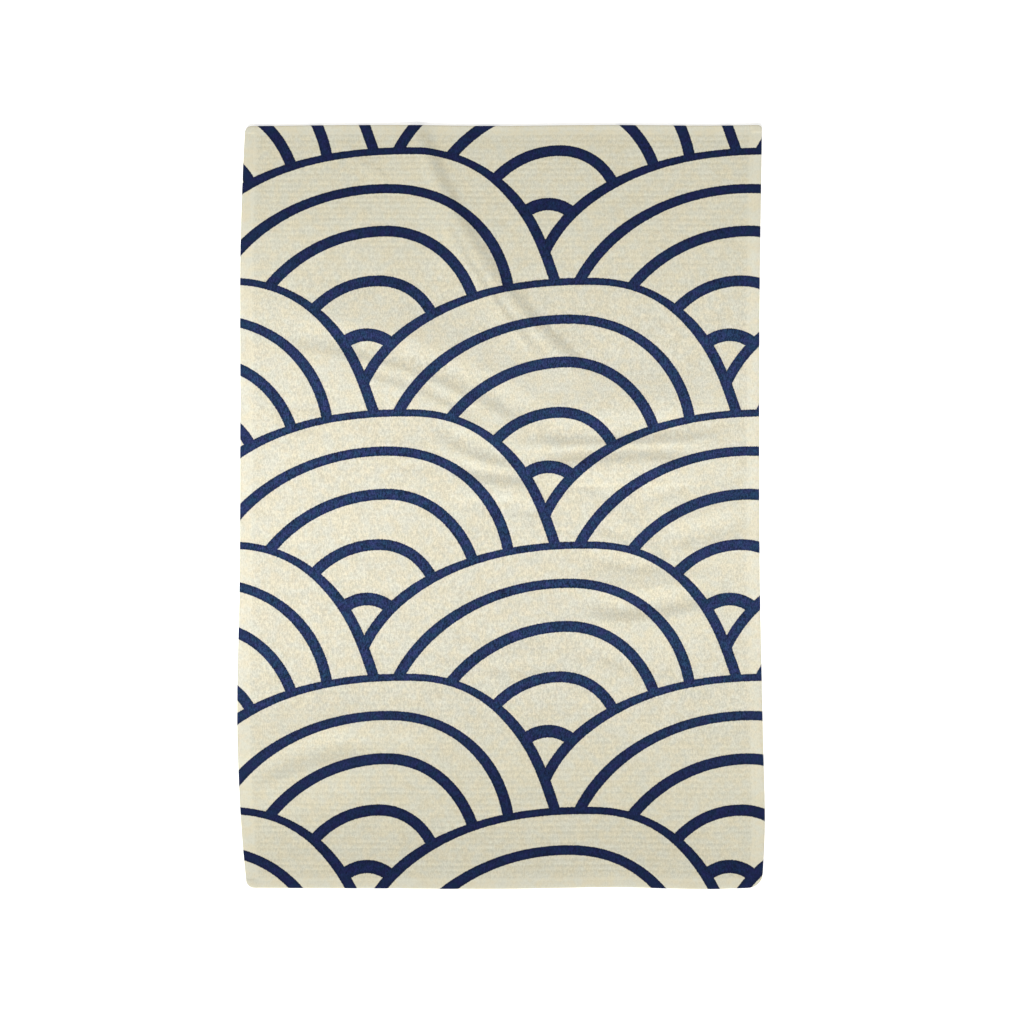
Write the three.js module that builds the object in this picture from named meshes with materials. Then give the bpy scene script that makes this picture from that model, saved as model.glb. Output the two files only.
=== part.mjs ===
// Tea towel: one rectangle of ribbed cloth, hemmed on all four sides, lying face up.
// It keeps the soft creases of having been folded: one long ridge, many shallow troughs between low
// shoulders, and three low swells beside them, which lift off the surface it lies on. The rest of its
// underside stays flat at z = 0.
// Millimetres. +X across the towel, +Y along it to the top of the print, +Z up out of the face.
import * as THREE from "three";

// ---- Cloth and hem ----
const CLOTH_THICKNESS = 1.2;
const HEM_THICKNESS = 2.2;
const HEM_WIDTH = { side: 10.5, top: 7.5, bottom: 8.5 };
const HEM_STEP = 1.4; // run over which the folded edge drops to single cloth
const EDGE_ARC_STEPS = 4; // facets round the folded edge

// ---- Outline ----
const HALF_WIDTH = 239;
const HALF_LENGTH = 350;
// How far the long sides stand out from the half width, and the short ends from the half length.
const SIDE_SECTIONS = [
  { y: -350, left: -6.0, right: 0.0 },
  { y: -300, left: -1.5, right: 2.5 },
  { y: -215, left: 2.5, right: 1.0 },
  { y: -60, left: 0.5, right: -2.0 },
  { y: 90, left: 0.0, right: -2.5 },
  { y: 250, left: -0.5, right: -1.5 },
  { y: 310, left: -2.5, right: -0.5 },
  { y: 350, left: -4.5, right: 0.0 },
];
const END_SECTIONS = [
  { x: -239, bottom: -1.0, top: -1.0 },
  { x: -120, bottom: -0.5, top: 0.0 },
  { x: 0, bottom: 0.0, top: -0.8 },
  { x: 100, bottom: -1.5, top: 0.0 },
  { x: 200, bottom: 0.0, top: -0.5 },
  { x: 239, bottom: -1.5, top: 0.0 },
];
// Which corner it is, its radius, and the angle in degrees from +X at which its anticlockwise arc starts.
const CORNERS = [
  { across: -1, along: -1, radius: 7, firstAngle: 180 },
  { across: 1, along: -1, radius: 12, firstAngle: 270 },
  { across: 1, along: 1, radius: 3.5, firstAngle: 0 },
  { across: -1, along: 1, radius: 6, firstAngle: 90 },
];
const CORNER_ARC_STEPS = 4;

// ---- Creases: each runs from one point to another, drawn towards a bend point between them ----
// Its height dies away over a reach to the left and to the right of the way along it. A height below
// nought makes a trough between two low shoulders.
const CREASES = [
  { name: "long diagonal", from: [87, 110], bend: [-42, 216], to: [-84, 364], height: 2.3, left: 42, right: 15 },
  { name: "its crest", from: [87, 110], bend: [-42, 216], to: [-84, 364], height: 1.2, left: 8, right: 14 },
  { name: "left fan, upper", from: [-214, 161], bend: [-53, 142], to: [46, 70], height: -2.6, left: 20, right: 15 },
  { name: "left fan, lower", from: [-154, 129], bend: [-76, 126], to: [-6, 72], height: -1.2, left: 9, right: 10 },
  { name: "middle, upper", from: [-66, 86], bend: [-26, 44], to: [46, 40], height: -2.4, left: 15, right: 13 },
  { name: "middle, lower", from: [-52, 43], bend: [-14, 24], to: [40, 31], height: -1.9, left: 11, right: 13 },
  { name: "middle, under it", from: [-50, 31], bend: [-14, 14], to: [38, 21], height: 1.5, left: 12, right: 36 },
  { name: "right band, above", from: [56, 106], bend: [130, 96], to: [206, 108], height: 0.9, left: 34, right: 26 },
  { name: "right band, upper", from: [16, 72], bend: [90, 59], to: [224, 79], height: -2.7, left: 21, right: 13 },
  { name: "right band, lower", from: [20, 46], bend: [92, 54], to: [198, 51], height: -1.5, left: 7, right: 14 },
  { name: "right band, under it", from: [26, 34], bend: [96, 42], to: [190, 39], height: 2.1, left: 14, right: 42 },
  { name: "right elbow", from: [64, -81], bend: [126, -107], to: [216, -66], height: -3.3, left: 16, right: 15 },
  { name: "right, short, upper", from: [84, -14], bend: [106, -21], to: [130, -34], height: -1.0, left: 11, right: 9 },
  { name: "right, short, lower", from: [84, -46], bend: [114, -53], to: [150, -56], height: -1.2, left: 11, right: 9 },
  { name: "right, at the side", from: [146, -30], bend: [192, -24], to: [232, -7], height: -2.2, left: 16, right: 16 },
  { name: "lower left", from: [-246, -254], bend: [-178, -216], to: [-114, -214], height: -3.1, left: 18, right: 18 },
  { name: "low middle", from: [-28, -146], bend: [20, -152], to: [62, -142], height: -0.9, left: 11, right: 9 },
];
const SHOULDER = 3.2; // reach of a trough's shoulders, as so many of its own on the left
const CREASE_STEPS = 14; // straight stretches that stand for each crease's line
const FADE_SHARE = 0.28; // each end of a crease dies away over this share of its length,
const FADE_MOST = 42; // or at most so far

// ---- Mesh: square tiles of right triangles, split only where the cloth bends ----
const TILES_ACROSS = 2;
const TILES_ALONG = 3;
const TILE_STEPS = 64; // smallest triangles in a tile, along its side
const BEND_TOLERANCE = 0.27; // how far a flat facet may stray from the cloth

const STEPS_ACROSS = TILES_ACROSS * TILE_STEPS;
const STEPS_ALONG = TILES_ALONG * TILE_STEPS;

// A smooth curve through one column of a table of sections.
function curveThrough(sections, place, column) {
  const places = sections.map((section) => section[place]);
  const values = sections.map((section) => section[column]);
  const interpolant = new THREE.CubicInterpolant(places, values, 1, [0]);
  return (at) => interpolant.evaluate(at)[0];
}

const leftStandsOut = curveThrough(SIDE_SECTIONS, "y", "left");
const rightStandsOut = curveThrough(SIDE_SECTIONS, "y", "right");
const bottomStandsOut = curveThrough(END_SECTIONS, "x", "bottom");
const topStandsOut = curveThrough(END_SECTIONS, "x", "top");
const leftSide = (y) => -HALF_WIDTH - leftStandsOut(y);
const rightSide = (y) => HALF_WIDTH + rightStandsOut(y);
const bottomEnd = (x) => -HALF_LENGTH - bottomStandsOut(x);
const topEnd = (x) => HALF_LENGTH + topStandsOut(x);

// The straight stretches of one crease's line, each with where it lies along the crease.
function creaseStretches(crease) {
  const curve = new THREE.QuadraticBezierCurve(
    new THREE.Vector2(...crease.from),
    new THREE.Vector2(...crease.bend),
    new THREE.Vector2(...crease.to),
  );
  const points = curve.getPoints(CREASE_STEPS);
  return points.slice(1).map((end, i) => ({ start: points[i], end, along: i / CREASE_STEPS }));
}

const FOLDS = CREASES.map((crease) => {
  const stretches = creaseStretches(crease);
  const length = stretches.reduce((sum, { start, end }) => sum + start.distanceTo(end), 0);
  return { ...crease, stretches, rising: Math.min(FADE_SHARE, FADE_MOST / length) };
});

// A point's distance from a fold's line, the share of the way there, and whether it is on the right.
function beside(fold, point) {
  let nearest = { distance: Infinity };
  for (const { start, end, along } of fold.stretches) {
    const run = end.clone().sub(start);
    const offset = point.clone().sub(start);
    const share = THREE.MathUtils.clamp(offset.dot(run) / run.lengthSq(), 0, 1);
    const distance = offset.distanceTo(run.clone().multiplyScalar(share));
    if (distance < nearest.distance) {
      nearest = { distance, along: along + share / CREASE_STEPS, onRight: run.cross(offset) < 0 };
    }
  }
  return nearest;
}

const bump = (distance, reach) => Math.max(1 - (distance / reach) ** 2, 0) ** 2;

// Height of the cloth's underside above the surface. Where shoulders overlap, the higher one shows.
function lift(x, y) {
  const point = new THREE.Vector2(x, y);
  let height = 0;
  let shoulders = 0;
  for (const fold of FOLDS) {
    const { distance, along, onRight } = beside(fold, point);
    const start = THREE.MathUtils.smoothstep(along, 0, fold.rising);
    const end = THREE.MathUtils.smoothstep(1 - along, 0, fold.rising);
    const most = fold.height * start * end;
    height += most * bump(distance, onRight ? fold.right : fold.left);
    if (most < 0) {
      shoulders += (-most * bump(distance, fold.left * SHOULDER)) ** 4;
    }
  }
  return Math.max(height + shoulders ** 0.25, 0);
}

// The single cloth inside the hem, as a grid of steps across and along: where a grid point lies.
function clothPoint({ i, j }) {
  const nominalX = THREE.MathUtils.mapLinear(i, 0, STEPS_ACROSS, -HALF_WIDTH, HALF_WIDTH);
  const nominalY = THREE.MathUtils.mapLinear(j, 0, STEPS_ALONG, -HALF_LENGTH, HALF_LENGTH);
  const left = leftSide(nominalY) + HEM_WIDTH.side;
  const right = rightSide(nominalY) - HEM_WIDTH.side;
  const low = bottomEnd(nominalX) + HEM_WIDTH.bottom;
  const high = topEnd(nominalX) - HEM_WIDTH.top;
  const x = THREE.MathUtils.lerp(left, right, i / STEPS_ACROSS);
  const y = THREE.MathUtils.lerp(low, high, j / STEPS_ALONG);
  return new THREE.Vector3(x, y, lift(x, y));
}

const gridKey = ({ i, j }) => i * (STEPS_ALONG + 1) + j;
const gridPoints = new Map();

function clothPointOnce(at) {
  const key = gridKey(at);
  if (!gridPoints.has(key)) {
    gridPoints.set(key, clothPoint(at));
  }
  return gridPoints.get(key);
}

// Middle of a triangle's long side, or null for the smallest triangles.
function middle(a, b) {
  const i = (a.i + b.i) / 2;
  const j = (a.j + b.j) / 2;
  return Number.isInteger(i) && Number.isInteger(j) ? { i, j } : null;
}

// Each tile starts as two right triangles, given by the ends of the long side and then the corner.
function tileTriangles() {
  const triangles = [];
  for (let across = 0; across < TILES_ACROSS; across += 1) {
    for (let along = 0; along < TILES_ALONG; along += 1) {
      const low = { i: across * TILE_STEPS, j: along * TILE_STEPS };
      const high = { i: low.i + TILE_STEPS, j: low.j + TILE_STEPS };
      triangles.push([high, low, { i: high.i, j: low.j }]);
      triangles.push([low, high, { i: low.i, j: high.j }]);
    }
  }
  return triangles;
}

// Marks each long side that has to be split, because the cloth bends there or at a smaller triangle
// within. Returns true when the triangle is split.
function markSplits([a, b, corner], splits) {
  const mid = middle(a, b);
  if (!mid) {
    return false;
  }
  const inFirst = markSplits([corner, a, mid], splits);
  const inSecond = markSplits([b, corner, mid], splits);
  const straight = clothPointOnce(a).clone().lerp(clothPointOnce(b), 0.5);
  const bends = straight.distanceTo(clothPointOnce(mid)) > BEND_TOLERANCE;
  if (inFirst || inSecond || bends) {
    splits.add(gridKey(mid));
  }
  return splits.has(gridKey(mid));
}

function splitTriangle([a, b, corner], splits) {
  const mid = middle(a, b);
  if (mid && splits.has(gridKey(mid))) {
    return [...splitTriangle([corner, a, mid], splits), ...splitTriangle([b, corner, mid], splits)];
  }
  return [[a, b, corner]];
}

// Neighbours share their long sides, so the marking repeats until no new split turns up.
function clothTriangles() {
  const tiles = tileTriangles();
  const splits = new Set();
  let before = -1;
  while (splits.size > before) {
    before = splits.size;
    tiles.forEach((triangle) => markSplits(triangle, splits));
  }
  return tiles.flatMap((triangle) => splitTriangle(triangle, splits));
}

// The grid points round the rim of the single cloth, anticlockwise from the bottom left corner.
function rimWalk(triangles) {
  const used = new Set(triangles.flat().map(gridKey));
  const walk = [];
  const visit = (i, j, side) => {
    if (used.has(gridKey({ i, j }))) {
      walk.push({ at: { i, j }, side });
    }
  };
  for (let i = 0; i < STEPS_ACROSS; i += 1) visit(i, 0, "bottom");
  for (let j = 0; j < STEPS_ALONG; j += 1) visit(STEPS_ACROSS, j, "right");
  for (let i = STEPS_ACROSS; i > 0; i -= 1) visit(i, STEPS_ALONG, "top");
  for (let j = STEPS_ALONG; j > 0; j -= 1) visit(0, j, "left");
  return walk;
}

// The points on a corner's arc, anticlockwise.
function cornerArc({ across, along, radius, firstAngle }) {
  const side = across < 0 ? leftSide : rightSide;
  const end = along < 0 ? bottomEnd : topEnd;
  const centreX = side(along * HALF_LENGTH) - across * radius;
  const centreY = end(across * HALF_WIDTH) - along * radius;
  return Array.from({ length: CORNER_ARC_STEPS + 1 }, (_, step) => {
    const angle = THREE.MathUtils.degToRad(firstAngle + (90 * step) / CORNER_ARC_STEPS);
    return new THREE.Vector2(centreX + radius * Math.cos(angle), centreY + radius * Math.sin(angle));
  });
}

// Pairs each rim point with the places on the towel's outline that its hem reaches out to.
function hemSpokes(triangles) {
  const onOutline = {
    bottom: ({ x }) => new THREE.Vector2(x, bottomEnd(x)),
    right: ({ y }) => new THREE.Vector2(rightSide(y), y),
    top: ({ x }) => new THREE.Vector2(x, topEnd(x)),
    left: ({ y }) => new THREE.Vector2(leftSide(y), y),
  };
  const cornerAt = new Map(CORNERS.map((corner) => {
    const i = corner.across < 0 ? 0 : STEPS_ACROSS;
    const j = corner.along < 0 ? 0 : STEPS_ALONG;
    return [gridKey({ i, j }), corner];
  }));
  return rimWalk(triangles).flatMap(({ at, side }) => {
    const corner = cornerAt.get(gridKey(at));
    const reaches = corner ? cornerArc(corner) : [onOutline[side](clothPointOnce(at))];
    return reaches.map((outer) => ({ at, outer }));
  });
}

// Section of the hem from the single cloth's face, over the folded edge, to its underside.
function hemSection(inner, outer) {
  const start = new THREE.Vector2(inner.x, inner.y);
  const reach = outer.distanceTo(start);
  const outward = outer.clone().sub(start).normalize();
  const radius = HEM_THICKNESS / 2;
  const place = (distance, height) => {
    const point = start.clone().addScaledVector(outward, distance);
    return new THREE.Vector3(point.x, point.y, lift(point.x, point.y) + height);
  };
  const section = [place(HEM_STEP, HEM_THICKNESS)];
  for (let step = 0; step <= EDGE_ARC_STEPS; step += 1) {
    const angle = Math.PI / 2 - (step / EDGE_ARC_STEPS) * Math.PI;
    section.push(place(reach - radius + radius * Math.cos(angle), radius + radius * Math.sin(angle)));
  }
  return section;
}

function towelGeometry() {
  const positions = [];
  const faces = [];
  const addPoint = (point) => positions.push(point.x, point.y, point.z) / 3 - 1;
  const addFace = (a, b, c) => {
    if (a !== b && b !== c && c !== a) {
      faces.push(a, b, c);
    }
  };

  // Face and underside of the single cloth.
  const triangles = clothTriangles();
  const underside = new Map();
  const face = new Map();
  for (const at of triangles.flat()) {
    const key = gridKey(at);
    if (!underside.has(key)) {
      const point = clothPointOnce(at);
      underside.set(key, addPoint(point));
      face.set(key, addPoint(point.clone().setZ(point.z + CLOTH_THICKNESS)));
    }
  }
  for (const [a, b, c] of triangles.map((triangle) => triangle.map(gridKey))) {
    addFace(face.get(a), face.get(b), face.get(c));
    addFace(underside.get(c), underside.get(b), underside.get(a));
  }

  // Hem, from spoke to spoke round the rim.
  const spokes = hemSpokes(triangles).map(({ at, outer }) => {
    const key = gridKey(at);
    const between = hemSection(clothPointOnce(at), outer).map(addPoint);
    return [face.get(key), ...between, underside.get(key)];
  });
  spokes.forEach((spoke, index) => {
    const next = spokes[(index + 1) % spokes.length];
    for (let k = 0; k + 1 < spoke.length; k += 1) {
      addFace(spoke[k], spoke[k + 1], next[k + 1]);
      addFace(spoke[k], next[k + 1], next[k]);
    }
  });

  const geometry = new THREE.BufferGeometry();
  geometry.setAttribute("position", new THREE.Float32BufferAttribute(positions, 3));
  geometry.setIndex(faces);
  geometry.computeVertexNormals();
  return geometry;
}

const printedCloth = new THREE.MeshStandardMaterial({ color: 0xdcd8c2, roughness: 0.9, metalness: 0 });

const towel = new THREE.Mesh(towelGeometry(), printedCloth);
towel.name = "towel";

const teaTowel = new THREE.Group();
teaTowel.add(towel);

export default teaTowel;
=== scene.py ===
"""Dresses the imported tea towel: ribbed cloth, printed in navy line on cream, with sewn hems.

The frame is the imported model's: +X across the towel, +Y along it to the top of the print, +Z up out
of its face. The towel's sizes below are in millimetres. Blender works in metres, into which MM turns
them, and the floor and the lights are in metres from the start.
"""

import math

import bpy
import numpy as np
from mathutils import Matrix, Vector, noise


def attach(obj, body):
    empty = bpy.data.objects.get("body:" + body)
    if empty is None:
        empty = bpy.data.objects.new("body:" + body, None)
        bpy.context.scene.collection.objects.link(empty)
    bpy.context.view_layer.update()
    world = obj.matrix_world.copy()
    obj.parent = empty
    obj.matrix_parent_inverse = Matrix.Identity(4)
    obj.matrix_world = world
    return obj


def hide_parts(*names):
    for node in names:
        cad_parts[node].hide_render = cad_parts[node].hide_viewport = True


MM = 0.001

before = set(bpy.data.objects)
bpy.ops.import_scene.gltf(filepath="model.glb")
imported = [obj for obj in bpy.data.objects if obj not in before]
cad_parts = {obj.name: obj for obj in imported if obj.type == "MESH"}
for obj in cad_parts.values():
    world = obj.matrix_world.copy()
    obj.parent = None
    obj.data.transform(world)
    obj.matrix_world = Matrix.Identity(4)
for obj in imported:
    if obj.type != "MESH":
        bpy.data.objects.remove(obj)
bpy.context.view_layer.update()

# ---- Camera: straight above, the print's top up ----
FRAME_SIDE = 938.19  # of the square frame, on the cloth
CAMERA_PLACE = (10.0, -4.6)  # the towel lies a little off the middle of the frame
LENS = 85.0
SENSOR = 36.0

# ---- Cloth ----
HALF_WIDTH = 239.0
HALF_LENGTH = 350.0
CLOTH_THICKNESS = 1.2
HEM_THICKNESS = 2.2
HEM_WIDTH = {"side": 10.5, "top": 7.5, "bottom": 8.5}
HEM_SAG = 60.0  # past the hem the cloth sinks back to the surface over this much
HEM_TOLERANCE = 0.1  # a point this little inside the hem's inner edge still counts as on it
CORNER_OVERLAP = 0.4  # extra thickness where an end hem is folded over a side hem
CORNER_STEP = 1.4  # run over which that layer begins
ROUND = 0.5  # the folded edge is pressed, so it bulges by less than half its thickness
ROUND_STEPS = 7

# How far the long sides stand out from the half width, and the short ends from the half length.
SIDE_SECTIONS = np.array(
    # y, left, right
    [
        (-350, -6.0, 0.0),
        (-300, -1.5, 2.5),
        (-215, 2.5, 1.0),
        (-60, 0.5, -2.0),
        (90, 0.0, -2.5),
        (250, -0.5, -1.5),
        (310, -2.5, -0.5),
        (350, -4.5, 0.0),
    ]
)
END_SECTIONS = np.array(
    # x, bottom, top
    [
        (-239, -1.0, -1.0),
        (-120, -0.5, 0.0),
        (0, 0.0, -0.8),
        (100, -1.5, 0.0),
        (200, 0.0, -0.5),
        (239, -1.5, 0.0),
    ]
)
CORNER_RADIUS = {(-1, -1): 7.0, (1, -1): 12.0, (1, 1): 3.5, (-1, 1): 6.0}  # by side and end

# The creases' lines: start, the point that they are drawn towards, end, height (below nought for a
# trough between low shoulders), and reach on the left and on the right of the way.
CREASES = [
    # name, from, bend, to, height, reach left, reach right
    ("long diagonal, shoulder", (87, 110), (-42, 216), (-84, 364), 2.3, 42, 15),
    ("long diagonal, crest", (87, 110), (-42, 216), (-84, 364), 1.2, 8, 14),
    ("left fan, upper", (-214, 161), (-53, 142), (46, 70), -2.6, 20, 15),
    ("left fan, lower", (-154, 129), (-76, 126), (-6, 72), -1.2, 9, 10),
    ("middle, upper", (-66, 86), (-26, 44), (46, 40), -2.4, 15, 13),
    ("middle, lower", (-52, 43), (-14, 24), (40, 31), -1.9, 11, 13),
    ("middle, under it", (-50, 31), (-14, 14), (38, 21), 1.5, 12, 36),
    ("right band, above", (56, 106), (130, 96), (206, 108), 0.9, 34, 26),
    ("right band, upper", (16, 72), (90, 59), (224, 79), -2.7, 21, 13),
    ("right band, lower", (20, 46), (92, 54), (198, 51), -1.5, 7, 14),
    ("right band, under it", (26, 34), (96, 42), (190, 39), 2.1, 14, 42),
    ("right elbow", (64, -81), (126, -107), (216, -66), -3.3, 16, 15),
    ("right, short, upper", (84, -14), (106, -21), (130, -34), -1.0, 11, 9),
    ("right, short, lower", (84, -46), (114, -53), (150, -56), -1.2, 11, 9),
    ("right, at the side", (146, -30), (192, -24), (232, -7), -2.2, 16, 16),
    ("lower left", (-246, -254), (-178, -216), (-114, -214), -3.1, 18, 18),
    ("low middle", (-28, -146), (20, -152), (62, -142), -0.9, 11, 9),
    # too slight for the solid
    ("long diagonal, head", (-26, 236), (-58, 286), (-80, 356), 0.8, 10, 18),
    ("beside it", (48, 124), (-34, 208), (-66, 296), 1.5, 9, 6),
    ("left fan, under it", (-146, 119), (-78, 114), (-12, 64), 0.5, 10, 26),
    ("beyond lower left", (-150, -199), (-104, -200), (-50, -211), 0.9, 32, 18),
    ("faint, top", (-96, 297), (-122, 308), (-144, 326), 0.5, 8, 6),
    ("faint, left", (-204, 92), (-182, 96), (-156, 88), -0.8, 9, 7),
    ("faint, left, lower", (-194, 71), (-170, 72), (-144, 63), -0.7, 8, 7),
    ("faint, middle left", (-106, 34), (-76, 39), (-46, 34), -0.8, 9, 7),
    ("faint, middle", (-8, -2), (20, -3), (50, -4), -0.9, 12, 9),
    ("faint, middle right", (54, 26), (76, 23), (98, 14), -1.0, 12, 10),
    ("faint, right", (114, -2), (146, 11), (176, 24), -1.1, 10, 9),
    ("faint, low left", (-78, -131), (-48, -133), (-20, -146), -0.7, 9, 8),
    ("faint, low right", (76, -130), (108, -138), (140, -160), -0.8, 11, 9),
]
SHOULDER = 3.2  # a trough's shoulders reach this many times as far as its left side
CREASE_STEPS = 28  # straight stretches that stand for each crease's line
# Each end of a crease dies away over this share of its length, or over so many mm if that is less.
FADE_SHARE = 0.28
FADE_MOST = 42.0
# Between the creases the cloth rises off the surface in broad swells with small ones among them.
SWELLS = [
    # height at the most, size, seed
    (0.7, 90.0, 3.7),
    (0.175, 38.0, 8.1),
]

# ---- Ribs and stitches ----
RIB_PITCH = 5.1
RIB_PROFILE = (-1.0, 0.5, 0.5)  # a narrow furrow and a crowned rib, at the rows of the mesh
RIB_DEPTH = 0.1
RIB_SPREAD = (0.6, 1.3)  # the least and the most of a rib's own share of that depth
RIB_SEED = 21
RIB_RUN_OUT = 3.0  # run over which the ribs end at the hems
RIB_WANING = 0.6  # share of its depth by which a rib comes and goes along its way
WANING_SIZE = (30.0, 10.0)  # of that, along the rib and across it
WANING_SEED = 5.5
# The cloth is crumpled, and its cream and navy take a painted sheen, this far from the middle, then less and
# less up to the next.
CRUMPLE_AND_SHEEN_WITHIN = 130.0
CRUMPLE_AND_SHEEN_UP_TO = 290.0
RIB_LEFT = 0.4  # share of the ribs that shows where it is crumpled
THREAD_PITCH = 0.5  # of the weave's threads
STITCH_INSET = 2.2  # from the hem's inner edge to its line of stitches
STITCH_LENGTH = 3.0
STITCH_GAP = 0.7
THREAD = 0.45  # diameter
STITCH_SIDES = 6
STITCH_STATIONS = (-1.0, -0.65, 0.0, 0.65, 1.0)  # rings along a stitch
STITCH_SWELL = (0.35, 0.9, 1.0, 0.9, 0.35)  # the thread's thickness there
STITCH_SINK = {"face": 0.02, "back": 0.13}  # of the thread's middle, under the groove's floor
STITCH_DIVE = 0.12  # further at the stitch's ends
GROOVE_DEPTH = 0.1
GROOVE_REACH = 0.8

# ---- Mesh ----
COLUMN_PITCH = 2.85
BACK_COLUMNS = 3  # the back has every third column of the face, and one row for each rib
HEM_LINES = 4  # the mesh's lines from the folded edge to the stitches' groove
STEP_LINES = (-0.7, 0.0, 0.7, 2.0)  # and past the groove, from the hem's inner edge
MAP_SCALE = {"face": 1 / 715, "back": 0.0006}  # of the bake's map, for each mm
MAP_MIDDLE = {"face": (0.345, 0.5), "back": (0.845, 0.5)}

# ---- Print: overlapping scallops, each a nest of five leaning arcs ----
SCALLOP_WIDTH = 332.1  # from one scallop to the next in a row
ROW_STEP = 121.1  # from one row down to the next, which sits half a scallop over
FIRST_JOINT = (-124.2, 363.0)  # where two scallops of row 0 meet
PRINT_ROWS = 8
# The print is stretched a little: its lines lie ever lower past each start.
PRINT_DRIFTS = (
    # start, span, how much lower after that span
    (100.0, 250.0, 3.0),
    (-205.0, -130.0, 3.0),
)
# From the joint at a scallop's left foot: the arc's crest, then how far each side runs out and drops
# and how full its shoulder is (2 is an ellipse), how far the right leg leans out for each mm that it
# drops, then the line's width at the crest and at the feet.
ARCS = np.array(
    [
        # crest x, y, left run, drop, fullness, right run, drop, fullness, lean, line at crest, at feet
        (203.0, 86.5, 215.0, 146.0, 2.20, 94.5, 105.0, 2.50, 0.35, 6.7, 9.9),
        (186.0, 51.5, 171.0, 145.0, 2.00, 113.0, 118.0, 2.15, 0.0, 8.7, 10.3),
        (185.0, 12.0, 135.0, 128.0, 1.96, 86.0, 101.0, 2.05, 0.0, 10.2, 10.4),
        (178.0, -34.2, 82.5, 87.0, 2.00, 56.5, 64.0, 2.10, 0.0, 10.2, 10.6),
        (167.5, -84.0, 35.0, 37.0, 2.00, 35.0, 38.0, 2.00, 0.0, 11.8, 11.0),
    ]
)
LINE_SWELL_DROP = 50.0  # this far below its crest, a line has reached its width at the feet
PRINT_FAMILIES = ("outline_a", "outline_b", "outline_c", "outline_d", "arcs")
NO_INK = 100.0  # a distance to the ink where there is none near
LEAST_ACROSS = 1e-6  # least shares of an arc's run and drop, which keep its slopes finite
LEAST_UP = 1e-3
SHOW_THROUGH = 0.08  # how much of the ink shows on the back

# ---- Colours ----
CREAM_LIGHT = (0.741, 0.705, 0.566, 1.0)
CREAM_DARK = (0.509, 0.480, 0.367, 1.0)
CREAM_WARM = (1.0, 0.977, 0.915, 1.0)
CREAM_COOL = (0.970, 1.0, 1.03, 1.0)
# painted sheen: the cream's tint in the middle, under the softboxes
CREAM_SHEEN = (1.0, 1.0, 1.03, 1.0)
NO_TINT = (1.0, 1.0, 1.0, 1.0)
# the navy at the ends, and in the middle with painted sheen from the softboxes
NAVY_PLAIN = (0.0070, 0.0132, 0.0515, 1.0)
NAVY_SHEENED = (0.0145, 0.0278, 0.0795, 1.0)
NAVY_TEAL = (0.72, 1.13, 0.94, 1.0)
NAVY_VIOLET = (1.17, 0.87, 1.07, 1.0)

# ---- Grain: sizes of its features across, along and through the cloth ----
UPRIGHT_STREAK = (1.0, 2.6, 3.0)
CROSSING_STREAK = (2.6, 0.8, 3.0)
SPECK = (0.8, 0.8, 3.0)
SHADE_PATCH = (16.0, 11.0, 9.0)
CREAM_PATCH = (9.0, 8.0, 5.0)
NAVY_PATCH = (7.5, 6.0, 6.0)

# ---- Tone: how light or dark the grain and the weave make the cloth, with painted shade in the ribs' furrows and a painted highlight on the hems ----
YARN_SHARES = {"upright": 0.55, "crossing": 0.18, "speck": 0.27}
YARN_CONTRAST = (0.68, 1.13)  # of the yarns where the cloth is smooth, and where it is crumpled
HEM_CALM = 0.35  # how much less that is on the pressed hems
SHADE_TONE = 0.08
WEAVE_TONE = 0.04
# painted shade: the furrows between the ribs are coloured darker and the crowns lighter
RIB_PAINTED_SHADE = 0.043
# painted highlight: the raised hems are coloured paler, as if they catch more light
HEM_PAINTED_HIGHLIGHT = 0.075
CREAM_SPREAD = 0.25  # the tone, up or down, at which the cream is as light or dark as it gets
NAVY_SPREAD = 0.22  # the same for the navy
NAVY_SHADES = (0.28, 1.72)  # its brightness where it is darkest and lightest
PATCH_DETAIL = 2.0
PATCH_ROUGHNESS = 0.6
PATCH_SPREAD = 0.2  # a patch has its full tint where its noise is this far from nought

# ---- Ink and surface ----
INK_EDGE = 0.25  # the ink fades out over this much on each side of its edge
INK_STRAY = 0.8  # how far its edge strays with the specks
INK_POOL = (-3.2, -0.4)  # it is thinnest this deep in a line, and thickest this near its edge
POOL_SHADES = (1.12, 0.8)  # the navy's brightness there
BUMP_HEIGHT = 0.5
WEAVE_RELIEF = 0.05  # share of that in the weave
ROUGH_SPREAD = 0.3  # the tone, up or down, at which the cloth is as smooth or rough as it gets
ROUGHNESS = (0.95, 0.8)  # where it is darkest and lightest
SHEEN = 0.03
SHEEN_ROUGHNESS = 0.5
SPECULAR = 0.12

# ---- Floor and lights, in metres ----
FLOOR_HALF = 12.0
FLOOR_DROP = 0.00005
FLOOR_WHITE = (0.93, 0.93, 0.93, 1.0)
FLOOR_ROUGHNESS = 0.9
FLOOR_GLOW = 0.42  # keeps the floor white
KEY_WAY = (0.16, 0.77, -0.62)  # a broad light from the towel's foot
KEY_POWER = 2.65
KEY_WIDTH = math.radians(16)
# Two long softboxes over the towel's middle, with narrow beams.
SOFTBOXES = [
    # name, x, width, power
    ("overhead", -0.05, 1.1, 0.37),
    ("overhead, left", -0.5, 0.6, 0.35),
]
SOFTBOX_LENGTH = 0.41
SOFTBOX_Y = -0.008
SOFTBOX_HEIGHT = 1.5
SOFTBOX_BEAM = math.radians(18)
SKY_POWER = 0.495
WHITE = (1.0, 1.0, 1.0, 1.0)


def smoothstep(value, low, high):
    share = np.clip((value - low) / (high - low), 0, 1)
    return share * share * (3 - 2 * share)


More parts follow.
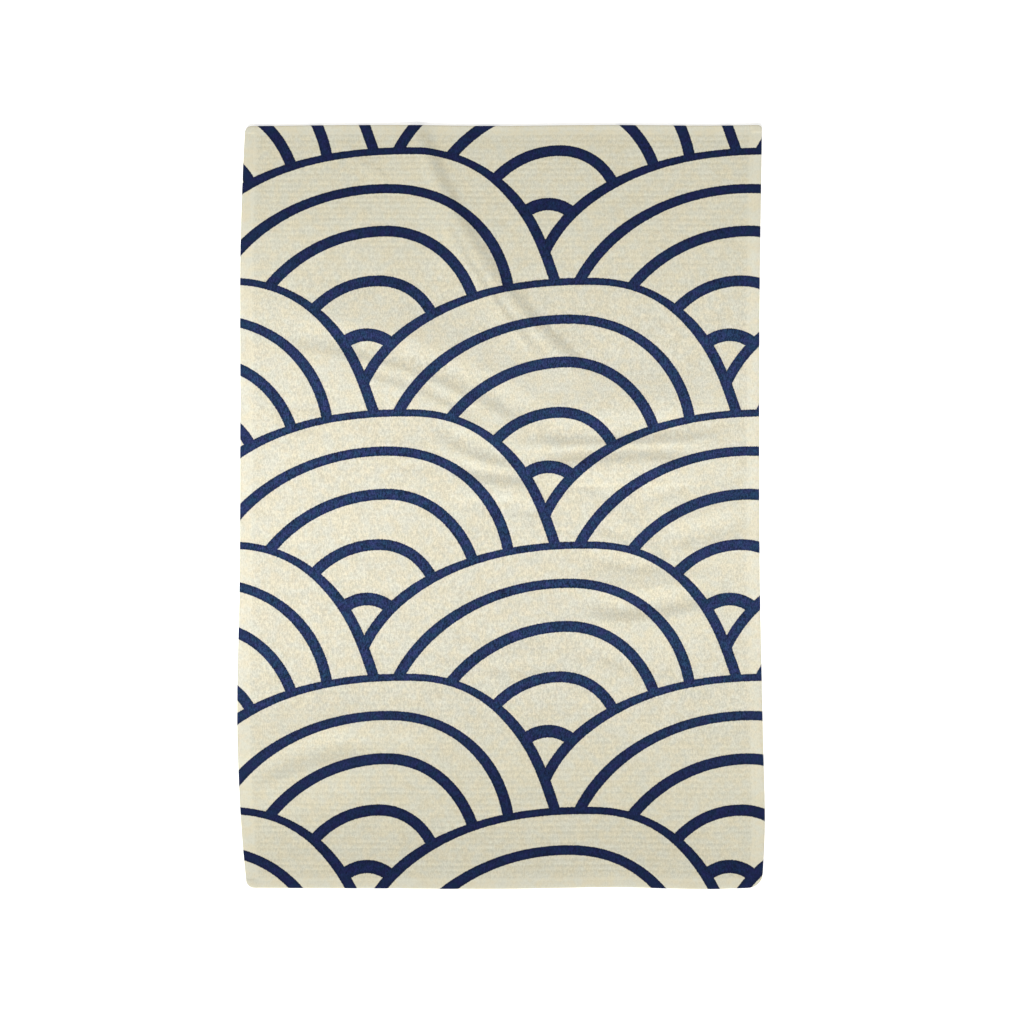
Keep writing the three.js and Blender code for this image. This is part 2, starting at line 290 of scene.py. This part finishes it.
def curve_through(sections, column):
    """A smooth curve through one column of a table of sections, by place along the edge."""
    places, values = sections[:, 0], sections[:, column]
    slopes = np.gradient(values, places)

    def curve(at):
        i = np.clip(np.searchsorted(places, at) - 1, 0, len(places) - 2)
        step = places[i + 1] - places[i]
        t = (at - places[i]) / step
        start = (1 + 2 * t) * (1 - t) ** 2 * values[i] + t * (1 - t) ** 2 * step * slopes[i]
        end = t * t * (3 - 2 * t) * values[i + 1] + t * t * (t - 1) * step * slopes[i + 1]
        return start + end

    return curve


left_out, right_out = curve_through(SIDE_SECTIONS, 1), curve_through(SIDE_SECTIONS, 2)
bottom_out, top_out = curve_through(END_SECTIONS, 1), curve_through(END_SECTIONS, 2)


def place(x, y):
    """Where a point of the plain rectangle lies: the corners are round and the edges wander."""
    x, y = x.copy(), y.copy()
    for (side, end), radius in CORNER_RADIUS.items():
        reach = radius - ROUND
        across = (side * x - HALF_WIDTH + radius) / reach
        up = (end * y - HALF_LENGTH + radius) / reach
        near = (across > 0) & (up > 0)
        pull = np.maximum(across[near], up[near]) / np.hypot(across[near], up[near])
        x[near] = side * (HALF_WIDTH - radius + across[near] * pull * reach)
        y[near] = end * (HALF_LENGTH - radius + up[near] * pull * reach)
    share_x = (x + HALF_WIDTH) / (2 * HALF_WIDTH)
    share_y = (y + HALF_LENGTH) / (2 * HALF_LENGTH)
    placed_x = x - left_out(y) * (1 - share_x) + right_out(y) * share_x
    placed_y = y - bottom_out(x) * (1 - share_y) + top_out(x) * share_y
    return placed_x, placed_y


def crease_line(start, bend, end):
    """Points along a crease."""
    t = np.linspace(0, 1, CREASE_STEPS + 1)[:, None]
    return (1 - t) ** 2 * np.array(start) + 2 * t * (1 - t) * np.array(bend) + t * t * np.array(end)


def beside(line, x, y):
    """Distance from a line, whether it is on the right of the way, and the share of the way there."""
    nearest, along, right = np.full(x.shape, np.inf), np.zeros(x.shape), np.zeros(x.shape, bool)
    for k, (from_here, run) in enumerate(zip(line[:-1], line[1:] - line[:-1])):
        to_x, to_y = x - from_here[0], y - from_here[1]
        share = np.clip((to_x * run[0] + to_y * run[1]) / (run @ run), 0, 1)
        gap = np.hypot(to_x - share * run[0], to_y - share * run[1])
        closer = gap < nearest
        along = np.where(closer, (k + share) / CREASE_STEPS, along)
        right = np.where(closer, run[0] * to_y < run[1] * to_x, right)
        nearest = np.minimum(nearest, gap)
    return nearest, right, along


def bump(distance, reach):
    return np.clip(1 - (distance / reach) ** 2, 0, 1) ** 2


def crease_lift(x, y):
    """How far the creases lift the cloth off the surface."""
    lift, shoulders = np.zeros(x.shape), np.zeros(x.shape)
    for _, start, bend, end, height, reach_left, reach_right in CREASES:
        line = crease_line(start, bend, end)
        # The box of points near the line reaches as far as its left side does, so the far part of a
        # wider right side is left out.
        margin = reach_left * (SHOULDER if height < 0 else 1)
        low, high = line.min(axis=0) - margin, line.max(axis=0) + margin
        near = np.nonzero((x > low[0]) & (x < high[0]) & (y > low[1]) & (y < high[1]))
        distance, right, along = beside(line, x[near], y[near])
        length = np.hypot(*(line[1:] - line[:-1]).T).sum()
        rising = min(FADE_SHARE, FADE_MOST / length)
        fade = smoothstep(along, 0, rising) * smoothstep(1 - along, 0, rising)
        lift[near] += height * fade * bump(distance, np.where(right, reach_right, reach_left))
        if height < 0:
            shoulders[near] += (-height * fade * bump(distance, margin)) ** 4
    return np.maximum(lift + shoulders**0.25, 0)


def soft_noise(x, y, size, seed):
    """Smooth noise from -1 to 1, with features of about this size."""
    values = [noise.noise(Vector((a / size, b / size, seed))) for a, b in zip(x.flat, y.flat)]
    return np.array(values).reshape(x.shape)


def lie(x, y):
    """Height of the cloth's back over the surface, apart from the hem."""
    swell = sum(most * np.clip(soft_noise(x, y, size, seed), 0, 1) for most, size, seed in SWELLS)
    return crease_lift(x, y) + swell


def crumple_and_sheen_at(y):
    """How crumpled the cloth is, and how much painted sheen its colours take: 1 in its middle and 0 at its
    ends.
    """
    return smoothstep(-np.abs(y), -CRUMPLE_AND_SHEEN_UP_TO, -CRUMPLE_AND_SHEEN_WITHIN)


def hem_gaps(x, y):
    """Distance in from the side hem's inner edge and from the end hem's, negative on the hems, for a
    point of the plain rectangle."""
    end_width = np.where(y > 0, HEM_WIDTH["top"], HEM_WIDTH["bottom"])
    return HALF_WIDTH - np.abs(x) - HEM_WIDTH["side"], HALF_LENGTH - np.abs(y) - end_width


def hem_form(x, y):
    """The hem's part of the height: of the face, and of the back."""
    side, end = hem_gaps(x, y)
    gap = np.minimum(side, end)
    rise = (HEM_THICKNESS - CLOTH_THICKNESS) * smoothstep(-gap, -HEM_SAG, 0)
    groove = np.zeros(x.shape)
    for own, other in ((side, end), (end, side)):
        line = np.clip(1 - ((own + STITCH_INSET) / GROOVE_REACH) ** 2, 0, 1)
        groove = np.maximum(groove, line * (other > -STITCH_INSET - GROOVE_REACH))
    corner = CORNER_OVERLAP * smoothstep(-side, 0, CORNER_STEP) * smoothstep(-end, 0, CORNER_STEP)
    face = CLOTH_THICKNESS + rise + corner - GROOVE_DEPTH * groove
    back = np.where(gap > HEM_TOLERANCE, rise, 0) + GROOVE_DEPTH * groove
    return face, back


def arc_gap(x, y, arc):
    """Distance from one arc, negative inside it, and half the width of the line drawn there."""
    crest_x, crest_y, *sides, right_lean, at_crest, at_feet = arc
    left = x < crest_x
    run, drop, fullness = (np.where(left, sides[k], sides[k + 3]) for k in range(3))
    lean = np.where(left | (y > crest_y), 0.0, right_lean)
    across = np.maximum(np.abs(x - crest_x) - lean * (crest_y - y), 0) / run + LEAST_ACROSS
    up = np.maximum((y - crest_y + drop) / drop, LEAST_UP)
    power = across**fullness + up**fullness
    tilt = power ** (1 / fullness - 1)
    steep_x = across ** (fullness - 1) / run
    steep_y = up ** (fullness - 1) / drop + lean * steep_x
    gap = (power ** (1 / fullness) - 1) / (tilt * np.hypot(steep_x, steep_y))
    swell = smoothstep(crest_y - y, 0, LINE_SWELL_DROP)
    return gap, (at_crest + (at_feet - at_crest) * swell) / 2


def print_gaps(x, y):
    """Distance to the ink, negative in it: of the scallops' outlines, in four families of which no two
    neighbours share one, and of the arcs in them. The shader takes the nearest, so corners stay sharp.
    Lower rows overlap the rows above, and in a row each scallop overlaps the one to its right."""
    y = y + sum(most * np.maximum((y - start) / span, 0) ** 2 for start, span, most in PRINT_DRIFTS)
    gaps = np.full((len(PRINT_FAMILIES), *x.shape), NO_INK)
    bare = np.ones(x.shape, bool)  # not yet inside a scallop
    for row in reversed(range(PRINT_ROWS)):
        from_joint = x - FIRST_JOINT[0] - (row % 2) * SCALLOP_WIDTH / 2
        own_y = y - FIRST_JOINT[1] + row * ROW_STEP
        for neighbour in (1, 0, -1):
            scallop = np.floor(from_joint / SCALLOP_WIDTH) - neighbour
            own_x = from_joint - scallop * SCALLOP_WIDTH
            outer, half_line = arc_gap(own_x, own_y, ARCS[0])
            for parity in (0, 1):
                outline = gaps[row % 2 * 2 + parity]
                drawn = bare & (scallop % 2 == parity)
                outline[drawn] = np.minimum(outline, np.abs(outer) - half_line)[drawn]
            inside = bare & (outer < 0)
            nest = gaps[-1]
            for arc in ARCS[1:]:
                inner, half_line = arc_gap(own_x, own_y, arc)
                nest[inside] = np.minimum(nest, np.abs(inner) - half_line)[inside]
            bare &= ~inside
    return gaps


# ---- The cloth's mesh ----
def hem_stations(width):
    """Distances in from the cut edge at which the mesh has a line along the hem."""
    stitch = width - STITCH_INSET
    outside = np.linspace(ROUND, stitch - GROOVE_REACH, HEM_LINES)
    return np.concatenate([outside, [stitch, stitch + GROOVE_REACH], width + np.array(STEP_LINES)])


def stations(half, low_width, high_width, pitch, multiple):
    """Places of the mesh's lines across the plain rectangle, and the first and last of the even
    steps between the hems, whose number is a multiple of so many."""
    low, high = -half + hem_stations(low_width), half - hem_stations(high_width)[::-1]
    steps = multiple * round((high[0] - low[-1]) / pitch / multiple)
    field = np.linspace(low[-1], high[0], steps + 1)
    return np.concatenate([low, field[1:-1], high]), len(low) - 1, len(low) - 1 + steps


rows_per_rib = len(RIB_PROFILE)
columns, first_column, last_column = stations(
    HALF_WIDTH, HEM_WIDTH["side"], HEM_WIDTH["side"], COLUMN_PITCH, BACK_COLUMNS
)
rows, first_row, last_row = stations(
    HALF_LENGTH, HEM_WIDTH["bottom"], HEM_WIDTH["top"], RIB_PITCH / rows_per_rib, rows_per_rib
)
flat_y, flat_x = np.meshgrid(rows, columns, indexing="ij")
face_x, face_y = place(flat_x, flat_y)
lie_height = lie(face_x, face_y)
face_form, back_form = hem_form(flat_x, flat_y)

# Ribs run across the towel, uneven in depth, and end at the hems.
from_first_row = np.arange(len(rows)) - first_row
rib_number = from_first_row // rows_per_rib
rib_number -= rib_number.min()
random = np.random.default_rng(RIB_SEED)
rib_depth = random.uniform(*RIB_SPREAD, rib_number.max() + 1)[rib_number]
profile = np.array(RIB_PROFILE)[from_first_row % rows_per_rib]
side_gap, end_gap = hem_gaps(flat_x, flat_y)
on_field = smoothstep(np.minimum(side_gap, end_gap), 0, RIB_RUN_OUT)
worn = crumple_and_sheen_at(face_y)
rib_form = (profile * rib_depth)[:, None] * on_field * (1 - worn * (1 - RIB_LEFT))
waning_length, waning_width = WANING_SIZE
waning_y = face_y * waning_length / waning_width
rib_form *= 1 + RIB_WANING * soft_noise(face_x, waning_y, waning_length, WANING_SEED)

face_z = lie_height + face_form + RIB_DEPTH * rib_form
back_z = lie_height + back_form


class Builder:
    """Gathers a mesh: points with named values, and faces."""

    def __init__(self):
        self.values = {}
        self.faces = []
        self.is_back = []  # for each face
        self.count = 0

    def points(self, **values):
        """Adds points and gives their numbers. A value is a row for each point, or one for them all."""
        length = len(values["place"])
        for name, value in values.items():
            for_each = value if np.ndim(value) else np.full(length, float(value))
            self.values.setdefault(name, []).append(for_each)
        self.count += length
        return np.arange(self.count - length, self.count)

    def polygons(self, faces, is_back=False):
        """Adds faces, each given by its points' numbers."""
        self.faces.extend(faces)
        self.is_back.extend([is_back] * len(faces))

    def quads(self, a, b, c, d):
        """Adds four-sided faces, from four equal grids of their points' numbers."""
        self.polygons(np.stack([a, b, c, d], axis=-1).reshape(-1, 4).tolist())


cloth = Builder()
face_points = np.stack([face_x, face_y, face_z], axis=-1).reshape(-1, 3)
face_numbers = cloth.points(
    place=face_points,
    printed_at=face_points[:, :2],
    rib=rib_form.ravel(),
    hem=1 - on_field.ravel(),
    worn=worn.ravel(),
    printed=1,
).reshape(face_x.shape)
cloth.quads(face_numbers[:-1, :-1], face_numbers[:-1, 1:], face_numbers[1:, 1:], face_numbers[1:, :-1])


def border(grid):
    """The values round a grid's edge, anticlockwise from its lower left corner."""
    return np.concatenate([grid[0, :-1], grid[:-1, -1], grid[-1, :0:-1], grid[:0:-1, 0]])


def set_border(grid, values):
    """Sets the values round a grid's edge, in the same order."""
    height, width = np.subtract(grid.shape, 1)
    sides = np.split(values, np.cumsum([width, height, width]))
    grid[0, :-1], grid[:-1, -1], grid[-1, :0:-1], grid[:0:-1, 0] = sides


# The folded edge: rings round the border from the face to the back.
edge = np.stack([border(face_x), border(face_y)], axis=1)
tangent = np.roll(edge, -1, axis=0) - np.roll(edge, 1, axis=0)
outward = np.stack([tangent[:, 1], -tangent[:, 0]], axis=1) / np.linalg.norm(tangent, axis=1)[:, None]
edge_top, edge_bottom = border(face_z), border(back_z)
edge_middle, edge_half = (edge_top + edge_bottom) / 2, (edge_top - edge_bottom) / 2
ring = border(face_numbers)
for step in range(1, ROUND_STEPS + 1):
    turn = math.pi * step / ROUND_STEPS
    spots = edge + outward * ROUND * math.sin(turn)
    heights = edge_middle + edge_half * math.cos(turn)
    unfolded = edge + outward * HEM_THICKNESS / 2 * turn
    next_ring = cloth.points(
        place=np.column_stack([spots, heights]), printed_at=unfolded, rib=0, hem=1, worn=0, printed=1
    )
    cloth.quads(ring, next_ring, np.roll(next_ring, -1), np.roll(ring, -1))
    ring = next_ring

# The back is coarser. Its border is the last ring, so a face there takes in the points between.
back_columns = np.r_[0:first_column, first_column:last_column:BACK_COLUMNS, last_column : len(columns)]
back_rows = np.r_[0:first_row, first_row:last_row:rows_per_rib, last_row : len(rows)]
back_numbers = np.full(face_x.shape, -1)
set_border(back_numbers, ring)
inner = np.ix_(back_rows[1:-1], back_columns[1:-1])
inner_x, inner_y = face_x[inner], face_y[inner]
inner_side, inner_end = side_gap[inner], end_gap[inner]
# The print goes round the folded edge and on along the hem's flap, so there it lies mirrored.
to_side, to_end = np.sign(flat_x[inner]), np.sign(flat_y[inner])
round_length = math.pi * HEM_THICKNESS / 2
mirrored_x = to_side * (2 * (HALF_WIDTH - ROUND) + round_length) - inner_x
mirrored_y = to_end * (2 * (HALF_LENGTH - ROUND) + round_length) - inner_y
print_x = np.where(inner_side <= HEM_TOLERANCE, mirrored_x, inner_x)
print_y = np.where(inner_end <= HEM_TOLERANCE, mirrored_y, inner_y)
on_flap = np.minimum(inner_side, inner_end) <= HEM_TOLERANCE
back_numbers[inner] = cloth.points(
    place=np.stack([inner_x, inner_y, back_z[inner]], axis=-1).reshape(-1, 3),
    printed_at=np.stack([print_x, print_y], axis=-1).reshape(-1, 2),
    rib=0,
    hem=1 - on_field[inner].ravel(),
    worn=worn[inner].ravel(),
    printed=np.where(on_flap, 1.0, SHOW_THROUGH).ravel(),
).reshape(inner_x.shape)


def back_face(row, next_row, column, next_column):
    """One face of the back, with every numbered point on its way round."""
    way = [(r, column) for r in range(row, next_row)]
    way += [(next_row, c) for c in range(column, next_column)]
    way += [(r, next_column) for r in range(next_row, row, -1)]
    way += [(row, c) for c in range(next_column, column, -1)]
    return [int(back_numbers[spot]) for spot in way if back_numbers[spot] >= 0]


cloth.polygons(
    [
        back_face(row, next_row, column, next_column)
        for row, next_row in zip(back_rows[:-1], back_rows[1:])
        for column, next_column in zip(back_columns[:-1], back_columns[1:])
    ],
    is_back=True,
)


# ---- The hems' stitches, on the face and on the back ----
def stitch_seams():
    """Ends of each seam on the plain rectangle. The seams meet in the corners."""
    right = HALF_WIDTH - HEM_WIDTH["side"] + STITCH_INSET
    top = HALF_LENGTH - HEM_WIDTH["top"] + STITCH_INSET
    bottom = -HALF_LENGTH + HEM_WIDTH["bottom"] - STITCH_INSET
    upright = [((x, bottom), (x, top)) for x in (-right, right)]
    level = [((-right, y), (right, y)) for y in (bottom, top)]
    return upright + level


def stitch_rings():
    """Where the middles of the stitches' rings lie on the plain rectangle, by stitch and ring."""
    middles = []
    for start, end in stitch_seams():
        start, run = np.array(start), np.array(end) - np.array(start)
        length = np.hypot(*run)
        number = round((length - STITCH_GAP) / (STITCH_LENGTH + STITCH_GAP))
        pitch = length / number
        first = (np.arange(number) + 0.5) * pitch
        at = first[:, None] + np.array(STITCH_STATIONS) * (pitch - STITCH_GAP) / 2
        middles.append(start + at[..., None] * run / length)
    return np.concatenate(middles)


def sew(builder, on_back):
    """Adds the stitches of the face or of the back. The middle of a stitch's thread is sunk in the
    cloth, and at its ends it dives."""
    rings = stitch_rings()
    flat_x, flat_y = rings[..., 0], rings[..., 1]
    x, y = place(flat_x, flat_y)
    height = lie(x, y)
    face_height, back_height = hem_form(flat_x, flat_y)
    sink = STITCH_SINK["back" if on_back else "face"] + STITCH_DIVE * np.abs(STITCH_STATIONS) ** 3
    middle_z = height + back_height + sink if on_back else height + face_height - sink
    run = np.stack([x[:, -1] - x[:, 0], y[:, -1] - y[:, 0]], axis=1)
    run /= np.linalg.norm(run, axis=1)[:, None]
    turns = np.arange(STITCH_SIDES) * 2 * math.pi / STITCH_SIDES
    radius = THREAD / 2 * np.array(STITCH_SWELL)[:, None]
    across = radius * np.cos(turns)
    spot_x = x[..., None] - run[:, 1, None, None] * across
    spot_y = y[..., None] + run[:, 0, None, None] * across
    spot_z = middle_z[..., None] + radius * np.sin(turns)
    numbers = builder.points(
        place=np.stack([spot_x, spot_y, spot_z], axis=-1).reshape(-1, 3),
        printed_at=np.stack([spot_x, spot_y], axis=-1).reshape(-1, 2),
        rib=0,
        hem=1,
        worn=crumple_and_sheen_at(spot_y).ravel(),
        printed=0 if on_back else 1,
    ).reshape(spot_x.shape)
    here, there = numbers[:, :-1], numbers[:, 1:]
    builder.quads(here, np.roll(here, -1, axis=2), np.roll(there, -1, axis=2), there)
    builder.polygons(numbers[:, 0, ::-1].tolist())
    builder.polygons(numbers[:, -1].tolist())


stitches = Builder()
sew(stitches, on_back=False)
sew(stitches, on_back=True)


# ---- Pieces from the gathered meshes ----
def mesh_piece(name, builder, material):
    """A smooth object from gathered points and faces, with the print's distances on its points."""
    values = {value_name: np.concatenate(parts) for value_name, parts in builder.values.items()}
    place_of, printed_at = values.pop("place"), values.pop("printed_at")
    mesh = bpy.data.meshes.new(name)
    mesh.from_pydata((place_of * MM).tolist(), [], builder.faces)
    mesh.polygons.foreach_set("use_smooth", np.ones(len(builder.faces), bool))
    values.update(zip(PRINT_FAMILIES, print_gaps(printed_at[:, 0], printed_at[:, 1])))
    for value_name, value in values.items():
        mesh.attributes.new(value_name, "FLOAT", "POINT").data.foreach_set("value", value)
    flat = np.column_stack([printed_at, place_of[:, 2]])
    mesh.attributes.new("flat", "FLOAT_VECTOR", "POINT").data.foreach_set("vector", flat.ravel())
    mesh.materials.append(material)
    piece = bpy.data.objects.new(name, mesh)
    bpy.context.collection.objects.link(piece)
    return piece


def lay_out(piece, builder):
    """The map that textures are baked on: the face with its folded edge, and beside it the back."""
    mesh = piece.data
    corners = np.empty(len(mesh.loops), int)
    mesh.loops.foreach_get("vertex_index", corners)
    on_back = np.repeat(builder.is_back, [len(face) for face in builder.faces])[:, None]
    face_spots = np.concatenate(builder.values["printed_at"])[corners]
    back_spots = np.concatenate(builder.values["place"])[corners, :2]
    face_map = MAP_MIDDLE["face"] + face_spots * MAP_SCALE["face"]
    back_map = MAP_MIDDLE["back"] + back_spots * (-1, 1) * MAP_SCALE["back"]
    layer = mesh.uv_layers.new(name="OFBake")
    layer.data.foreach_set("uv", np.where(on_back, back_map, face_map).ravel())


# ---- Material: printed cloth ----
def add(tree, kind, inputs=(), **settings):
    """A node with its settings and its inputs, each a number, a colour or another node's output."""
    made = tree.nodes.new(kind)
    for name, value in settings.items():
        setattr(made, name, value)
    for name, value in dict(inputs).items():
        if isinstance(value, bpy.types.NodeSocket):
            tree.links.new(value, made.inputs[name])
        else:
            made.inputs[name].default_value = value
    return made


def attribute(tree, name, output="Fac"):
    return add(tree, "ShaderNodeAttribute", attribute_name=name).outputs[output]


def maths(tree, operation, *values):
    return add(tree, "ShaderNodeMath", enumerate(values), operation=operation).outputs[0]


def total(tree, *parts):
    """The sum of several values, each times its weight."""
    so_far = 0.0
    for value, weight in parts:
        so_far = maths(tree, "MULTIPLY_ADD", value, weight, so_far)
    return so_far


def ramp(tree, value, low, high, to_low=0.0, to_high=1.0):
    """The value's place between two limits, eased, as a number between two others."""
    inputs = {"Value": value, "From Min": low, "From Max": high, "To Min": to_low, "To Max": to_high}
    return add(tree, "ShaderNodeMapRange", inputs, interpolation_type="SMOOTHSTEP").outputs[0]


def blend(tree, share, a, b):
    """Colour a, or b as far as the share says."""
    return add(tree, "ShaderNodeMix", {0: share, 6: a, 7: b}, data_type="RGBA").outputs[2]


def tinted(tree, colour, tint):
    """A colour times another."""
    made = add(tree, "ShaderNodeMix", {0: 1.0, 6: colour, 7: tint}, data_type="RGBA", blend_type="MULTIPLY")
    return made.outputs[2]


def grain(tree, flat, size, detail=1.0, roughness=0.5):
    """Noise from -0.5 to 0.5 with features of this size, across, along and through the cloth."""
    per_feature = {0: flat, 1: tuple(1 / s for s in size)}
    scaled = add(tree, "ShaderNodeVectorMath", per_feature, operation="MULTIPLY").outputs[0]
    inputs = {"Vector": scaled, "Scale": 1.0, "Detail": detail, "Roughness": roughness}
    return maths(tree, "SUBTRACT", add(tree, "ShaderNodeTexNoise", inputs).outputs["Fac"], 0.5)


def interlacing(tree, flat):
    """A plain weave from -1 to 1: each thread in turn goes over and under those that cross it."""
    spots = add(tree, "ShaderNodeSeparateXYZ", {"Vector": flat}).outputs
    waves = [maths(tree, "SINE", maths(tree, "MULTIPLY", spot, math.pi / THREAD_PITCH)) for spot in spots[:2]]
    return maths(tree, "MULTIPLY", *waves)


def yarn_tone(tree, flat, speck):
    """Light and dark of the yarns: short upright streaks, finer ones across, and specks. The crumpled
    middle is nubbier than the ends, and the pressed hems are smoother."""
    upright = grain(tree, flat, UPRIGHT_STREAK)
    crossing = grain(tree, flat, CROSSING_STREAK)
    streaks = total(
        tree,
        (upright, YARN_SHARES["upright"]),
        (crossing, YARN_SHARES["crossing"]),
        (speck, YARN_SHARES["speck"]),
    )
    worn_contrast = ramp(tree, attribute(tree, "worn"), 0.0, 1.0, *YARN_CONTRAST)
    contrast = total(tree, (worn_contrast, 1.0), (attribute(tree, "hem"), -HEM_CALM))
    return maths(tree, "MULTIPLY", streaks, contrast)


def patches(tree, flat, size):
    """Patches of about this size, from 0 to 1."""
    cloudy = grain(tree, flat, size, PATCH_DETAIL, PATCH_ROUGHNESS)
    return ramp(tree, cloudy, -PATCH_SPREAD, PATCH_SPREAD)


def cream_colour(tree, flat, tone):
    """Painted shade darkens the furrows, a painted highlight makes the pressed hems paler, and painted sheen
    makes the crumpled middle less yellow.
    """
    rib, hem = attribute(tree, "rib"), attribute(tree, "hem")
    # painted shade in the rib furrows and a painted highlight on the hems, added to the cream's tone
    tone = total(tree, (tone, 1.0), (rib, RIB_PAINTED_SHADE), (hem, HEM_PAINTED_HIGHLIGHT))
    cream = blend(tree, ramp(tree, tone, -CREAM_SPREAD, CREAM_SPREAD), CREAM_DARK, CREAM_LIGHT)
    coolness = patches(tree, flat, CREAM_PATCH)
    cream = tinted(tree, cream, blend(tree, coolness, CREAM_WARM, CREAM_COOL))
    # painted sheen: the cream is made less yellow in the middle, under the softboxes
    return tinted(tree, cream, blend(tree, attribute(tree, "worn"), NO_TINT, CREAM_SHEEN))


def navy_colour(tree, flat, tone, gap):
    """Paler with painted sheen in the crumpled middle, gathered at the lines' edges, and uneven on the yarns.
    """
    # painted sheen: the navy is made paler in the middle, under the softboxes
    navy = blend(tree, attribute(tree, "worn"), NAVY_PLAIN, NAVY_SHEENED)
    navy = tinted(tree, navy, ramp(tree, gap, *INK_POOL, *POOL_SHADES))
    navy = tinted(tree, navy, ramp(tree, tone, -NAVY_SPREAD, NAVY_SPREAD, *NAVY_SHADES))
    hue = patches(tree, flat, NAVY_PATCH)
    return tinted(tree, navy, blend(tree, hue, NAVY_VIOLET, NAVY_TEAL))


def printed_cloth_material():
    """Cream cloth of uneven yarns, with navy ink where the nearest of the print's lines is."""
    material = bpy.data.materials.new("printed_cloth")
    material.use_nodes = True
    tree = material.node_tree
    shader = tree.nodes["Principled BSDF"]
    flat = attribute(tree, "flat", "Vector")
    speck = grain(tree, flat, SPECK, detail=0.0)
    yarn = yarn_tone(tree, flat, speck)
    weave = interlacing(tree, flat)  # its threads are finer than the camera's pixels
    tone = total(tree, (yarn, 1.0), (grain(tree, flat, SHADE_PATCH), SHADE_TONE), (weave, WEAVE_TONE))

    gap = attribute(tree, PRINT_FAMILIES[0])
    for family in PRINT_FAMILIES[1:]:
        gap = maths(tree, "MINIMUM", gap, attribute(tree, family))
    strayed = total(tree, (gap, 1.0), (speck, INK_STRAY))
    inked = ramp(tree, strayed, -INK_EDGE, INK_EDGE, 1.0, 0.0)
    ink = maths(tree, "MULTIPLY", inked, attribute(tree, "printed"))
    colour = blend(tree, ink, cream_colour(tree, flat, tone), navy_colour(tree, flat, tone, gap))
    relief = total(tree, (yarn, 1.0), (weave, WEAVE_RELIEF))
    bumps = add(tree, "ShaderNodeBump", {"Height": relief, "Strength": 1.0, "Distance": BUMP_HEIGHT * MM})
    roughness = ramp(tree, tone, -ROUGH_SPREAD, ROUGH_SPREAD, *ROUGHNESS)

    tree.links.new(colour, shader.inputs["Base Color"])
    tree.links.new(roughness, shader.inputs["Roughness"])
    tree.links.new(bumps.outputs[0], shader.inputs["Normal"])
    shader.inputs["Sheen Weight"].default_value = SHEEN
    shader.inputs["Sheen Roughness"].default_value = SHEEN_ROUGHNESS
    shader.inputs["Specular IOR Level"].default_value = SPECULAR
    return material


printed_cloth = printed_cloth_material()
towel = mesh_piece("towel_cloth", cloth, printed_cloth)
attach(towel, "root")
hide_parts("towel")
lay_out(towel, cloth)
seams = mesh_piece("hem_stitches", stitches, printed_cloth)
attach(seams, "root")

# ---- Camera, floor and lights ----
camera_data = bpy.data.cameras.new("camera")
camera_data.lens = LENS
camera_data.sensor_width = SENSOR
camera = bpy.data.objects.new("camera", camera_data)
camera.location = Vector((*CAMERA_PLACE, FRAME_SIDE * LENS / SENSOR + CLOTH_THICKNESS)) * MM
bpy.context.collection.objects.link(camera)
bpy.context.scene.camera = camera

floor_mesh = bpy.data.meshes.new("floor")
floor_mesh.from_pydata(
    [(x * FLOOR_HALF, y * FLOOR_HALF, -FLOOR_DROP) for x, y in ((-1, -1), (1, -1), (1, 1), (-1, 1))],
    [],
    [(0, 1, 2, 3)],
)
floor = bpy.data.objects.new("floor", floor_mesh)
bpy.context.collection.objects.link(floor)
floor_material = bpy.data.materials.new("floor")
floor_material.use_nodes = True
floor_shader = floor_material.node_tree.nodes["Principled BSDF"]
floor_shader.inputs["Base Color"].default_value = FLOOR_WHITE
floor_shader.inputs["Roughness"].default_value = FLOOR_ROUGHNESS
floor_shader.inputs["Emission Color"].default_value = WHITE
floor_shader.inputs["Emission Strength"].default_value = FLOOR_GLOW
floor_mesh.materials.append(floor_material)


def light(name, kind, spot, way, **settings):
    """A light at this spot that shines this way and that the camera doesn't see."""
    data = bpy.data.lights.new(name, kind)
    for setting, value in settings.items():
        setattr(data, setting, value)
    lamp = bpy.data.objects.new(name, data)
    lamp.location = spot
    lamp.rotation_euler = Vector(way).to_track_quat("-Z", "Y").to_euler()
    lamp.visible_camera = False
    bpy.context.collection.objects.link(lamp)


light("key", "SUN", (0, -1, 1), KEY_WAY, energy=KEY_POWER, angle=KEY_WIDTH)
for name, x, width, power in SOFTBOXES:
    light(
        name,
        "AREA",
        (x, SOFTBOX_Y, SOFTBOX_HEIGHT),
        (0, 0, -1),
        shape="RECTANGLE",
        size=width,
        size_y=SOFTBOX_LENGTH,
        energy=power,
        spread=SOFTBOX_BEAM,
    )
world = bpy.data.worlds.new("world")
bpy.context.scene.world = world
world.use_nodes = True
sky = world.node_tree.nodes["Background"]
sky.inputs["Color"].default_value = WHITE
sky.inputs["Strength"].default_value = SKY_POWER
bpy.context.scene.view_settings.view_transform = "Standard"
